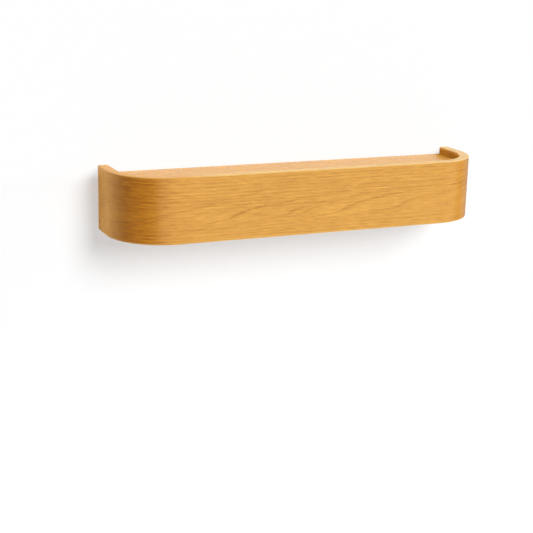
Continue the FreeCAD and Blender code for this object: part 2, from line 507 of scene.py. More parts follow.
@dataclass(frozen=True)
class PlyEdgeFinish(Finish):
    """The lacquered edge of a bent lamination, where its layers show faintly."""

    pale: Triple = srgb(252, 209, 128)
    deep: Triple = srgb(228, 174, 92)
    glue: Triple = srgb(176, 116, 52)
    # Painted shade: a tint multiplied into the edge's tone towards the band's left end.
    painted_shade_tint: Triple = (0.89, 0.70, 0.38)
    painted_shade_stretches: Stops = ((-0.50, 1.0), (-0.29, 1.0), (-0.20, 0.0))
    layer: float = 0.0020
    layer_seed: float = 7.3
    layer_tones: Noise = Noise((1.0, 1.0, 1.0), 0.0)
    layer_weight: float = 0.35
    streaks: Noise = Noise((1 / 30, 1 / 1400, 1.0), 3.0, 0.35, 0.68)
    streak_weight: float = 0.4
    joint_share: float = 0.05
    glue_weight: float = 0.45
    roughness: tuple[float, float] = (0.36, 0.46)
    joint_sink: float = 0.6
    streak_sink: float = 0.3
    relief: Relief = Relief(0.00006, 0.3)

    def surface(self, board: NodeBoard) -> dict[str, object]:
        """What goes into the sockets of the principled surface.

        Args:
            board: the material being drawn.

        Returns:
            Constants and signals by the sockets' names.
        """
        along, across = board.unrolled_place()
        layers = across / self.layer
        ply = self.layer_tones.whole(board.point(board.reckon("FLOOR", layers), self.layer_seed))
        joint = board.reckon("PINGPONG", layers, 0.5).span(0.0, self.joint_share, 1.0, 0.0)
        streak = self.streaks.shown(board.point(along, across))
        tone = board.blend(ply * self.layer_weight + streak * self.streak_weight, self.pale, self.deep)
        # Painted shade: the edge darker and more amber towards the band's left end.
        tone = board.blend(along.ramp(self.painted_shade_stretches), tone, self.painted_shade_tint, Blending.TINT)
        sunk = joint * self.joint_sink + streak * self.streak_sink
        return {
            "Base Color": board.blend(joint * self.glue_weight, tone, self.glue),
            "Roughness": streak.span(0.0, 1.0, *self.roughness),
            "Normal": self.relief.of(1.0 - sunk),
        }


@dataclass(frozen=True)
class SteelFinish(Finish):
    """Zinc-plated steel, with the cloudy lustre of the bath."""

    bright: Triple = srgb(206, 206, 200)
    dull: Triple = srgb(150, 150, 148)
    roughness: tuple[float, float] = (0.26, 0.44)
    clouds: Noise = Noise((1 / 260, 1 / 260, 1 / 260), 4.0, 0.3, 0.7)
    scratches: Noise = Noise((1 / 9000, 1 / 9000, 1 / 250), 2.0, 0.35, 0.7, roughness=0.5)
    cloud_dulling: float = 0.6
    scratch_dulling: float = 0.4
    relief: Relief = Relief(0.00002, 0.3)

    def surface(self, board: NodeBoard) -> dict[str, object]:
        """What goes into the sockets of the principled surface.

        Args:
            board: the material being drawn.

        Returns:
            Constants and signals by the sockets' names.
        """
        cloud, scratch = (noise.shown(board.own_place()) for noise in (self.clouds, self.scratches))
        dulled = cloud * self.cloud_dulling + scratch * self.scratch_dulling
        return {
            "Base Color": board.blend(cloud, self.bright, self.dull),
            "Metallic": 1.0,
            "Roughness": dulled.span(0.0, 1.0, *self.roughness),
            "Normal": self.relief.of(scratch),
        }


@dataclass(frozen=True)
class BeechFinish(Finish):
    """Raw beech, with its small flecks."""

    pale: Triple = srgb(214, 176, 134)
    fleck: Triple = srgb(170, 122, 82)
    flecks: Noise = Noise((1 / 2600, 1 / 2600, 1 / 320), 2.0, 0.52, 0.68, roughness=0.5)
    roughness: tuple[float, float] = (0.62, 0.78)
    relief: Relief = Relief(0.00006, 0.3)

    def surface(self, board: NodeBoard) -> dict[str, object]:
        """What goes into the sockets of the principled surface.

        Args:
            board: the material being drawn.

        Returns:
            Constants and signals by the sockets' names.
        """
        fleck = self.flecks.shown(board.own_place())
        return {
            "Base Color": board.blend(fleck, self.pale, self.fleck),
            "Roughness": fleck.span(0.0, 1.0, *self.roughness),
            "Normal": self.relief.of(1.0 - fleck),
        }


@dataclass(frozen=True)
class CardFinish(Finish):
    """A dim matt card, with a glow that changes along the wall where one is given."""

    colour: Triple = (0.10, 0.05, 0.02)
    glow: Stops = ()

    def surface(self, board: NodeBoard) -> dict[str, object]:
        """What goes into the sockets of the principled surface.

        Args:
            board: the material being drawn.

        Returns:
            Constants and signals by the sockets' names.
        """
        inputs = {"Base Color": self.colour, "Roughness": 1.0, "Specular IOR Level": 0.0}
        if self.glow:
            inputs["Emission Color"] = board.parts(board.own_place())[0].ramp(self.glow)
            inputs["Emission Strength"] = 1.0
        return inputs


@dataclass(frozen=True)
class BackdropFinish(CardFinish):
    """A pale matt surface that shows from its front alone, lifted towards white for the camera."""

    colour: Triple = (0.94, 0.95, 0.96)
    # Painted light: the lift rises with height, so the wall above the shelf shows whiter than its light makes
    # it.
    lift: Stops = ((0.045, 0.45), (0.065, 0.82), (0.10, 0.92))

    def shader(self, board: NodeBoard) -> Signal:
        """The whole shader.

        Args:
            board: the material being drawn.

        Returns:
            The shader.
        """
        height = board.parts(board.own_place())[2]
        seen = board.draw("ShaderNodeLightPath", "Is Camera Ray", {})
        glow = board.draw("ShaderNodeEmission", 0, {"Color": WHITE})
        lifted = board.mixed(seen * height.ramp(self.lift), super().shader(board), glow)
        behind = board.draw("ShaderNodeNewGeometry", "Backfacing", {})
        return board.mixed(behind, lifted, board.draw("ShaderNodeBsdfTransparent", 0, {}))


def take(piece: Piece) -> None:
    """Deselects everything and makes one object active.

    Args:
        piece: the object.
    """
    bpy.ops.object.select_all(action="DESELECT")
    piece.select_set(True)
    bpy.context.view_layer.objects.active = piece


@contextmanager
def shaping(piece: Piece, pick: Pick) -> Iterator[bmesh.types.BMesh]:
    """Opens a piece in edit mode with nothing selected.

    Args:
        piece: the object to shape.
        pick: what will be selected.

    Returns:
        The mesh being edited.
    """
    take(piece)
    bpy.ops.object.mode_set(mode="EDIT")
    bpy.ops.mesh.select_mode(type=pick.value)
    bpy.ops.mesh.select_all(action="DESELECT")
    yield bmesh.from_edit_mesh(piece.data)
    bpy.ops.object.mode_set(mode="OBJECT")


def choose(piece: Piece, parts: Iterable, test: Callable[[object], bool]) -> None:
    """Selects the parts of a mesh in edit mode that pass a test.

    Args:
        piece: the object being edited.
        parts: its vertices, edges or faces.
        test: says which are wanted.
    """
    for part in parts:
        part.select_set(bool(test(part)))
    bmesh.from_edit_mesh(piece.data).select_flush_mode()
    bmesh.update_edit_mesh(piece.data)


def settled(piece: Piece) -> Piece:
    """Moves an object's place, turn and scale into its mesh.

    Args:
        piece: the object.

    Returns:
        The same object.
    """
    take(piece)
    bpy.ops.object.transform_apply(location=True, rotation=True, scale=True)
    return piece


def added(name: str, matrix: Matrix, operator: Callable, **settings: object) -> Piece:
    """Adds an object.

    Args:
        name: its name.
        matrix: its place, turn and scale.
        operator: Blender's operator that adds it.
        settings: what the operator is told.

    Returns:
        The object.
    """
    bpy.ops.object.select_all(action="DESELECT")
    operator(**settings)
    made = bpy.context.object
    made.name = name
    made.matrix_world = matrix
    return made


def block(name: str, low: Vector, high: Vector) -> Piece:
    """A rectangular start for a piece, between two corners."""
    matrix = Matrix.LocRotScale((low + high) / 2, None, high - low)
    return settled(added(name, matrix, bpy.ops.mesh.primitive_cube_add, size=1.0))


def rod(name: str, radius: float, start: Vector, end: Vector, sides: int = 48) -> Piece:
    """A round start for a piece, between two points.

    Args:
        name: the object's name.
        radius: its radius.
        start: one end of its axis.
        end: the other end.
        sides: how many sides it has.

    Returns:
        The rod.
    """
    matrix = Matrix.LocRotScale((start + end) / 2, UP.rotation_difference(end - start), None)
    sizes = {"vertices": sides, "radius": radius, "depth": (end - start).length}
    return settled(added(name, matrix, bpy.ops.mesh.primitive_cylinder_add, **sizes))


def panel(name: str, width: float, height: float, place: Vector, facing: Vector) -> Piece:
    """A flat panel with its centre at a place and its front in a direction."""
    matrix = Matrix.LocRotScale(place, facing.to_track_quat("Z", "Y"), (width, height, 1.0))
    return settled(added(name, matrix, bpy.ops.mesh.primitive_plane_add, size=1.0))


def apply_modifier(piece: Piece, kind: str, **settings: object) -> None:
    """Adds a modifier to a piece and applies it.

    Args:
        piece: the object.
        kind: Blender's name for the modifier.
        settings: properties to set on it.
    """
    take(piece)
    made = piece.modifiers.new(kind.lower(), kind)
    give(made, settings)
    bpy.ops.object.modifier_apply(modifier=made.name)


def combine(piece: Piece, shapes: Sequence[Piece], how: Join) -> None:
    """Cuts shapes out of a piece or adds them to it, and removes the shapes.

    Args:
        piece: what is changed.
        shapes: closed shapes.
        how: whether they are cut out or added.
    """
    for shape in shapes:
        apply_modifier(piece, "BOOLEAN", operation=how.value, solver="EXACT", object=shape)
        bpy.data.objects.remove(shape)


@dataclass(frozen=True)
class Ease:
    """How the edges of a piece are eased: how wide, in how many facets, and from which angle on."""

    width: float
    facets: int
    angle: float

    def apply(self, piece: Piece) -> None:
        """Eases the edges of a piece."""
        limits = {"limit_method": "ANGLE", "angle_limit": self.angle, "use_clamp_overlap": True}
        apply_modifier(piece, "BEVEL", width=self.width, segments=self.facets, **limits)


def rounded(piece: Piece, radius: float, facets: int, test: Callable[[object], bool]) -> Piece:
    """Rounds the edges of a piece that pass a test.

    Args:
        piece: the object.
        radius: the radius of the round.
        facets: how many facets it has.
        test: says which edges are wanted.

    Returns:
        The same object.
    """
    with shaping(piece, Pick.EDGE) as mesh:
        choose(piece, mesh.edges, test)
        bpy.ops.mesh.bevel(offset=radius, segments=facets, profile=ROUND_PROFILE, affect="EDGES")
    return piece


def runs_along(edge: bmesh.types.BMEdge, axis: Vector) -> bool:
    """Whether the ends of an edge lie apart along an axis."""
    first, last = (vert.co for vert in edge.verts)
    return abs((first - last).dot(axis)) > MERGE_DISTANCE


def smooth(piece: Piece) -> None:
    """Closes a finished mesh, points its faces outwards and shades its curves smooth.

    Args:
        piece: the object.
    """
    with shaping(piece, Pick.VERT):
        bpy.ops.mesh.select_all(action="SELECT")
        bpy.ops.mesh.remove_doubles(threshold=MERGE_DISTANCE)
        bpy.ops.mesh.normals_make_consistent(inside=False)
    take(piece)
    bpy.ops.object.shade_smooth_by_angle(angle=SMOOTH_ANGLE)
    apply_modifier(piece, "WEIGHTED_NORMAL", keep_sharp=True, weight=FACE_WEIGHT)


def turned(name: str, profile: Profile, place: Vector, steps: int) -> Piece:
    """A piece turned about an axis square to the wall.

    Args:
        name: the object's name.
        profile: (radius, distance along Y) from one end of the axis to the other.
        place: where the profile's zero lies.
        steps: how many facets go round.

    Returns:
        The turned piece.
    """
    piece = panel(name, 1.0, 1.0, Vector(), UP)
    with shaping(piece, Pick.VERT) as mesh:
        mesh.verts.ensure_lookup_table()
        first = mesh.verts[0]
        choose(piece, mesh.verts, lambda vert: vert is not first)
        bpy.ops.mesh.delete(type="VERT")
        start = bmesh.from_edit_mesh(piece.data).verts[:][0]
        start.co = place + Vector((*profile[0], 0.0))
        choose(piece, [start], lambda vert: True)
        for (radius, along), (next_radius, next_along) in zip(profile, profile[1:]):
            step = (next_radius - radius, next_along - along, 0.0)
            bpy.ops.mesh.extrude_vertices_move(TRANSFORM_OT_translate={"value": step})
        bpy.ops.mesh.select_all(action="SELECT")
        bpy.ops.mesh.spin(steps=steps, angle=math.tau, center=place, axis=BACK)
        bpy.ops.mesh.select_all(action="SELECT")
        bpy.ops.mesh.remove_doubles(threshold=MERGE_DISTANCE)
        bpy.ops.mesh.normals_make_consistent(inside=False)
    return piece


def row(first: Piece, stem: str, places: Sequence[Vector]) -> list[Piece]:
    """A piece and its copies, each with a mesh of its own.

    Args:
        first: the piece, at the first place.
        stem: how the copies' names start.
        places: where the piece and its copies lie.

    Returns:
        All of them, in order.
    """
    pieces = [first]
    for number, place in enumerate(places[1:], start=2):
        take(first)
        bpy.ops.object.duplicate()
        copy = bpy.context.object
        copy.name = f"{stem}_{number}"
        copy.location = place - places[0]
        pieces.append(settled(copy))
    return pieces


def as_one(pieces: Sequence[Piece], name: str) -> Piece:
    """Joins pieces into one object, each still a shell of its own.

    Args:
        pieces: the objects.
        name: the joined object's name.

    Returns:
        The joined object.
    """
    take(pieces[0])
    for piece in pieces:
        piece.select_set(True)
    bpy.ops.object.join()
    pieces[0].name = name
    return pieces[0]


def arc_points(centre: tuple[float, float], radius: float, start: float, end: float, count: int) -> Profile:
    """Points of a half profile along an arc, in a count of steps from a start angle to an end angle."""
    angles = [start + (end - start) * n / count for n in range(count + 1)]
    return [(centre[0] + radius * math.cos(a), centre[1] + radius * math.sin(a)) for a in angles]


def present(piece: Piece, materials: Sequence[bpy.types.Material], nodes: Sequence[str]) -> None:
    """Dresses a finished piece and ties it to the frame.

    Args:
        piece: the object.
        materials: its finishes.
        nodes: the solids that it stands for.
    """
    for material in materials:
        piece.data.materials.append(material)
    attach(piece, BODY)
    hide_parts(*nodes)
    LOG.info("%s: %d faces, stands for %s", piece.name, len(piece.data.polygons), ", ".join(nodes))


def middle_and_size(node: str) -> tuple[Vector, Vector]:
    """The centre and the size of a solid's box."""
    low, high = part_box(node)
    return (low + high) / 2, high - low


def stadium(name: str, middle: Vector, size: Vector, facets: int = 16) -> Piece:
    """An upright bar with round ends, from its middle and its width, thickness and height."""
    bar = block(name, middle - size / 2, middle + size / 2)
    return rounded(bar, size.x / 2 - MERGE_DISTANCE, facets, lambda edge: runs_along(edge, BACK))


@dataclass
class ScrewSet:
    """Countersunk wood screws of one size, driven from the wall side."""

    name: str
    node: str
    places: list[Vector]
    head: float
    shank: float
    length: float
    point: float
    sink: float = 0.0001
    hole_gap: float = 0.00005
    blind_gap: float = 0.0005
    steps: int = 40
    ease: Ease = Ease(0.00006, 2, math.radians(30))
    recess_width: float = 0.16
    recess_reach: float = 0.62
    recess_depth: float = 0.55
    steel: SteelFinish = SteelFinish("zinc_screw", srgb(214, 206, 176), srgb(160, 152, 124), (0.24, 0.4))

    def bore(self, piece: Piece, node: str) -> None:
        """Cuts the holes of those screws that pass through a piece.

        Args:
            piece: what is cut.
            node: the solid that it stands for.
        """
        low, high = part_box(node)
        head, shank = self.head + self.hole_gap, self.shank + self.hole_gap
        floor = -self.length - self.blind_gap
        profile = [
            (0.0, CUT_OVERRUN),
            (head, CUT_OVERRUN),
            (head, -self.sink),
            (shank, -self.sink - head + shank),
            (shank, floor),
            (0.0, floor),
        ]
        for place in self.places:
            if low.x < place.x < high.x and low.z < place.z < high.z:
                combine(piece, [turned("hole", profile, place, self.steps)], Join.CUT)

    def build(self) -> None:
        """Models one screw with its cross recess, copies it and dresses the set."""
        first = self.places[0]
        profile = [
            (0.0, -self.sink),
            (self.head, -self.sink),
            (self.shank, -self.sink - self.head + self.shank),
            (self.shank, self.point - self.length),
            (0.0, -self.length),
        ]
        screw = turned("screw", profile, first, self.steps)
        self.ease.apply(screw)
        half, reach = self.head * self.recess_width, self.head * self.recess_reach
        floor = -self.sink - self.head * self.recess_depth
        for wide, tall in ((reach, half), (half, reach)):
            low, high = Vector((-wide, floor, -tall)), Vector((wide, CUT_OVERRUN, tall))
            combine(screw, [block("recess", first + low, first + high)], Join.CUT)
        smooth(screw)
        screws = as_one(row(screw, "screw", self.places), self.name)
        present(screws, [self.steel.material()], [self.node])


@dataclass
class TurnedPegs:
    """The row of turned pegs."""

    reach: float = 0.068
    base_radius: float = 0.011
    base_land: float = 0.003
    neck_radius: float = 0.00675
    head_radius: float = 0.0135
    rim_land: float = 0.003
    dome: float = 0.008
    tenon_radius: float = 0.0065
    tenon_length: float = 0.017
    glue_gap: float = 0.00005
    neck_share: float = 0.62
    ease: Ease = Ease(0.0008, 3, math.radians(28))
    cove_steps: int = 14
    dome_steps: int = 12
    steps: int = 72
    count: int = 5
    finish: OakFinish = OakFinish(
        "oak_peg_face",
        GrainCourse.TURNED,
        OakFigure(
            turn_height=0.0,
            crown_opening=0.004,
            fine_rings=Noise((0.02, 0.16, 1.0), 3.0, 0.40, 0.62, roughness=0.65),
            drift=0.002,
            seed=5.9,
        ),
        fine_weight=0.5,
    )

    def nodes(self) -> list[str]:
        """The solids of the pegs, from left to right."""
        return [f"peg_{number}" for number in range(1, self.count + 1)]

    def seats(self) -> list[Vector]:
        """Where the pegs' axes meet the front of the rail.

        Returns:
            The places, from left to right.
        """
        boxes = [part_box(node) for node in self.nodes()]
        return [
            Vector(((low.x + high.x) / 2, low.y + self.reach, (low.z + high.z) / 2)) for low, high in boxes
        ]

    def mortises(self) -> list[Piece]:
        """Cutters for the holes that take the tenons, with eased mouths.

        Returns:
            One for each peg.
        """
        radius, floor = self.tenon_radius + self.glue_gap, self.tenon_length + self.glue_gap
        ease = self.ease.width + self.glue_gap
        profile = [
            (0.0, -CUT_OVERRUN),
            (radius + ease, -CUT_OVERRUN),
            (radius + ease, 0.0),
            (radius, ease),
            (radius, floor),
            (0.0, floor),
        ]
        return [turned("mortise", profile, seat, self.steps) for seat in self.seats()]

    def cove(self, radius: float, along: float) -> Profile:
        """The hollow between the neck and a wider place.

        Args:
            radius: the wider place's radius.
            along: where it lies.

        Returns:
            The points from the neck to the wider place, both ends among them.
        """
        neck_y = -self.reach * self.neck_share
        rise, run = radius - self.neck_radius, along - neck_y
        bend = (rise * rise + run * run) / (2 * rise)
        centre, turn = (self.neck_radius + bend, neck_y), math.asin(run / bend)
        return arc_points(centre, bend, math.pi, math.pi - turn, self.cove_steps)

    def profile(self) -> Profile:
        """The half profile of a peg.

        Returns:
            The points from the tenon's foot to the tip of the dome.
        """
        bend = (self.head_radius**2 + self.dome**2) / (2 * self.dome)
        lean, tip = math.asin(self.head_radius / bend), -math.pi / 2
        return [
            (0.0, self.tenon_length),
            (self.tenon_radius - self.ease.width, self.tenon_length),
            (self.tenon_radius, self.tenon_length - self.ease.width),
            (self.tenon_radius, 0.0),
            (self.base_radius, 0.0),
            *self.cove(self.base_radius, -self.base_land)[::-1],
            *self.cove(self.head_radius, self.dome - self.reach + self.rim_land)[1:],
            *arc_points((0.0, bend - self.reach), bend, lean + tip, tip, self.dome_steps),
        ]

    def build(self) -> None:
        """Turns one peg, copies it along the rail and dresses the row."""
        seats = self.seats()
        first = turned("turned_peg_1", self.profile(), seats[0], self.steps)
        self.ease.apply(first)
        smooth(first)
        material = self.finish.material()
        for peg, node in zip(row(first, "turned_peg", seats), self.nodes()):
            present(peg, [material], [node])


@dataclass
class RailDowels:
    """The hidden dowels between the rail and the shelf, one above each peg, which stay as packed."""

    pegs: TurnedPegs
    node: str = "rail_dowels"
    radius: float = 0.004
    glue_gap: float = 0.00005
    blind_gap: float = 0.0005
    finish: BeechFinish = BeechFinish("raw_beech")

    def holes(self) -> list[Piece]:
        """Cutters for the holes in the rail and the shelf.

        Returns:
            One for each dowel.
        """
        middle, size = middle_and_size(self.node)
        radius, half = self.radius + self.glue_gap, UP * (size.z / 2 + self.blind_gap)
        places = [Vector((seat.x, middle.y, middle.z)) for seat in self.pegs.seats()]
        return [rod("dowel_hole", radius, place - half, place + half) for place in places]

    def dress(self) -> None:
        """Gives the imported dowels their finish."""
        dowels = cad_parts[self.node]
        dowels.data.materials.clear()
        dowels.data.materials.append(self.finish.material())
        LOG.info("%s: kept as packed", self.node)


@dataclass
class KeyholePlates:
    """The steel plates that hang the rack."""

    nodes: tuple[str, str] = ("keyhole_plate_left", "keyhole_plate_right")
    names: tuple[str, str] = ("hanger_plate_left", "hanger_plate_right")
    entry_radius: float = 0.00475
    slot_width: float = 0.005
    slot_rise: float = 0.012
    entry_drop: float = 0.005
    ease: Ease = Ease(0.0003, 2, math.radians(50))
    recess_gap: float = 0.0001
    pocket_width: float = 0.011
    pocket_depth: float = 0.009
    steel: SteelFinish = SteelFinish("zinc_plate")

    def screw_places(self) -> list[Vector]:
        """Where the plates' screws sit.

        Returns:
            Places on the wall plane, two to a plate.
        """
        places = []
        for middle, size in map(middle_and_size, self.nodes):
            reach = (size.z - size.x) / 2
            places += [middle + Vector((0.0, size.y / 2, rise)) for rise in (-reach, reach)]
        return places

    def slot(self, name: str, plate_middle: Vector, width: float, depth: float) -> Piece:
        """A solid bar that fills the slot of a plate, with half of its depth on each side of the middle."""
        rise = UP * (self.slot_rise / 2 - self.entry_drop)
        return stadium(name, plate_middle + rise, Vector((width, depth, self.slot_rise + width)))

    def recesses(self) -> list[Piece]:
        """Cutters for the places in the rail that take the plates and the heads of the wall screws.

        Returns:
            Two for each plate.
        """
        gap = Vector((2 * self.recess_gap, 0.0, 2 * self.recess_gap))
        over = BACK * CUT_OVERRUN
        cutters = []
        for middle, size in map(middle_and_size, self.nodes):
            cutters.append(stadium("recess", middle + over / 2, size + gap + over))
            sunk = middle - BACK * (self.pocket_depth / 2)
            cutters.append(self.slot("pocket", sunk, self.pocket_width, self.pocket_depth + size.y))
        return cutters

    def build(self, screws: ScrewSet) -> None:
        """Models both plates and dresses them.

        Args:
            screws: the screws that hold them.
        """
        material = self.steel.material()
        for node, name in zip(self.nodes, self.names):
            middle, size = middle_and_size(node)
            plate = stadium(name, middle, size)
            through = BACK * (size.y / 2 + CUT_OVERRUN)
            entry = middle - UP * self.entry_drop
            slot = self.slot("slot", middle, self.slot_width, 2 * through.y)
            hole = rod("entry", self.entry_radius, entry - through, entry + through)
            combine(plate, [slot, hole], Join.CUT)
            screws.bore(plate, node)
            self.ease.apply(plate)
            smooth(plate)
            present(plate, [material], [node])


@dataclass
class BentBand:
    """The bent band: both ends, both corners and the front in one lamination."""

    end_screws: ScrewSet
    thickness: float = 0.020
    corner_radius: float = 0.110
    corner_facets: int = 48
    edge_round: float = 0.002
    edge_facets: int = 5
    groove_depth: float = 0.006
    groove_width: float = 0.0082
    rebate_depth: float = 0.012
    level_limit: float = 0.02
    facing_limit: float = 0.9
    depth_digits: int = 4
    face: OakFinish = OakFinish(
        "oak_band_face",
        GrainCourse.UNROLLED,
        OakFigure(
            turn_height=0.046,
            bold_rings=(
                (-0.365, 0.7), (-0.342, 0.5), (-0.182, 1.0), (-0.062, 0.7),
                (-0.030, 0.7), (0.060, 1.0), (0.186, 0.6),
            ),
            seed=3.1,
        ),
        # Painted shade: the band's face deeper and more amber at its left return and corner and towards its
        # right end.
        painted_shade_stretches=(
            (-0.50, 0.22), (-0.45, 0.25), (-0.395, 0.95), (-0.355, 0.82), (-0.305, 0.20),
            (-0.24, 0.0), (0.27, 0.0), (0.34, 0.20), (0.38, 0.30), (0.44, 0.45),
        ),
        line_stretches=(
            (-0.50, 0.4), (-0.44, 0.5), (-0.40, 1.4), (-0.34, 1.3),
            (-0.29, 1.0), (0.32, 1.0), (0.38, 1.4), (0.44, 1.4),
        ),
    )
    edge: PlyEdgeFinish = PlyEdgeFinish("oak_band_edge")
    inside: OakFinish = OakFinish(
        "oak_band_inside",
        GrainCourse.UNROLLED,
        OakFigure(turn_height=0.090, seed=8.3),
        # Painted shade: the inside's tones darker than the outside's, and a deeper amber strip just above the
        # shelf.
        pale=srgb(226, 164, 70),
        deep=srgb(164, 104, 34),
        painted_shade_tint=(0.72, 0.66, 0.32),
        painted_shade_stretches=((0.0, 0.0), (0.110, 0.0), (0.114, 1.0), (0.120, 0.75), (0.130, 0.25)),
        painted_shade_runs_along=False,
        gloss_level=0.05,
    )
    low: Vector = field(default_factory=lambda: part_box("front_band")[0])
    high: Vector = field(default_factory=lambda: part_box("front_band")[1])

    def outline(self, name: str, inset: float, low: float, high: float, overrun: float = 0.0) -> Piece:
        """A board that fills the band's plan.

        Args:
            name: the object's name.
            inset: how far in from the band's outer face.
            low: its lower face.
            high: its upper face.
            overrun: how far it runs past the wall plane.

        Returns:
            The board, with round front corners.
        """
        corner_low = Vector((self.low.x + inset, self.low.y + inset, low))
        corner_high = Vector((self.high.x - inset, self.high.y + overrun, high))
        middle = (corner_low.y + corner_high.y) / 2
        return rounded(
            block(name, corner_low, corner_high),
            self.corner_radius - inset,
            self.corner_facets,
            lambda edge: runs_along(edge, UP) and edge.verts[0].co.y < middle,
        )

    def shelf_ring(self, name: str, inset: float, gap: float, overrun: float) -> Piece:
        """A board as thick as the groove for the shelf, less a gap on each side."""
        middle, half = middle_and_size("shelf_board")[0].z, self.groove_width / 2 - gap
        return self.outline(name, inset + gap, middle - half, middle + half, overrun)

    def place_of(self, point: Vector) -> tuple[float, float]:
        """Where a point lies on the unrolled band.

        Args:
            point: a point of the band.

        Returns:
            The distance along the outer face from the middle of the front, and the depth under that face.
        """
        radius = self.corner_radius
        turn_x, turn_y = self.high.x - radius, self.low.y + radius
        side = math.copysign(1.0, point.x)
        out, back = abs(point.x) - turn_x, turn_y - point.y
        if back <= 0:
            return side * (turn_x + radius * math.pi / 2 - back), self.high.x - abs(point.x)
        if out <= 0:
            return point.x, point.y - self.low.y
        return side * (turn_x + radius * math.atan2(out, back)), radius - math.hypot(out, back)

    def unroll(self, band: Piece) -> None:
        """Maps the grain round the bend, and marks which side of the band each face lies on.

        Args:
            band: the finished mesh.
        """
        mesh = band.data
        grain = mesh.uv_layers.new(name=GRAIN_MAP)
        wall = self.high.y - MERGE_DISTANCE
        for face in mesh.polygons:
            at_wall = all(mesh.vertices[vert].co.y > wall for vert in face.vertices)
            side = BandFace.OUTSIDE
            if abs(face.normal.z) >= self.level_limit or at_wall:
                side = BandFace.EDGE
            elif self.place_of(face.center)[1] > self.thickness / 2:
                side = BandFace.INSIDE
            face.material_index = side.value
            for loop in face.loop_indices:
                point = mesh.vertices[mesh.loops[loop].vertex_index].co
                along, depth = self.place_of(point)
                across = depth if side is BandFace.EDGE else point.z - self.low.z
                grain.data[loop].uv = (point.z if at_wall else along, across)

    def on_rim(self, edge: bmesh.types.BMEdge) -> bool:
        """Whether an edge runs along the rim or the bottom of the strip.

        Args:
            edge: an edge of the strip.

        Returns:
            Whether both ends lie at the same height and depth, at the top or the bottom.
        """
        ends = [vert.co for vert in edge.verts]
        rims = (self.low.z, self.high.z)
        level = any(all(abs(end.z - rim) < MERGE_DISTANCE for end in ends) for rim in rims)
        return level and len({round(self.place_of(end)[1], self.depth_digits) for end in ends}) == 1

    def strip(self) -> Piece:
        """The bent strip with its rounded rims, before the joints are cut.

        Returns:
            The strip.
        """
        limit = self.facing_limit
        band = self.outline("bent_band", 0.0, self.low.z, self.high.z)
        with shaping(band, Pick.FACE) as mesh:
            choose(band, mesh.faces, lambda face: abs(face.normal.z) > limit or face.normal.y > limit)
            bpy.ops.mesh.delete(type="FACE")
        apply_modifier(band, "SOLIDIFY", thickness=self.thickness, offset=INWARDS, use_even_offset=True)
        return rounded(band, self.edge_round, self.edge_facets, self.on_rim)

    def cut_joints(self, band: Piece) -> None:
        """Cuts the shelf's groove, the rail's rebates and the holes for the rail's end screws.

        Args:
            band: the bent strip.
        """
        cutters = [self.shelf_ring("groove", self.thickness - self.groove_depth, 0.0, CUT_OVERRUN)]
        rail_low, rail_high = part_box("back_rail")
        inner = self.high.x - self.thickness
        for side in (-1, 1):
            near, far = sorted((side * (inner - CUT_OVERRUN), side * (inner + self.rebate_depth)))
            low = Vector((near, rail_low.y, rail_low.z))
            high = Vector((far, rail_high.y + CUT_OVERRUN, rail_high.z))
            cutters.append(block("rebate", low, high))
        combine(band, cutters, Join.CUT)
        self.end_screws.bore(band, "front_band")

    def build(self) -> None:
        """Models the band and dresses it."""
        band = self.strip()
        self.cut_joints(band)
        smooth(band)
        self.unroll(band)
        finishes = [finish.material() for finish in (self.face, self.edge, self.inside)]
        present(band, finishes, ["front_band"])


@dataclass
class ShelfBoard:
    """The shelf inside the band, with its tongue in the band's groove."""

    band: BentBand
    dowels: RailDowels
    gap: float = 0.0002
    tongue_gap: float = 0.0001
    ease: Ease = Ease(0.0006, 2, math.radians(40))
    finish: OakFinish = OakFinish(
        "oak_shelf_face",
        GrainCourse.LENGTHWISE,
        OakFigure(turn_height=-0.20, crown_opening=0.02, seed=11.7),
        pale=srgb(247, 187, 58),
        deep=srgb(194, 122, 28),
    )

    def build(self) -> None:
        """Models the shelf and dresses it."""
        band = self.band
        low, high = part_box("shelf_board")
        shelf = band.outline("shelf", band.thickness + self.gap, low.z, high.z)
        self.ease.apply(shelf)
        tongue = band.shelf_ring("tongue", band.thickness - band.groove_depth, self.tongue_gap, 0.0)
        combine(shelf, [tongue], Join.ADD)
        combine(shelf, self.dowels.holes(), Join.CUT)
        smooth(shelf)
        present(shelf, [self.finish.material()], ["shelf_board"])


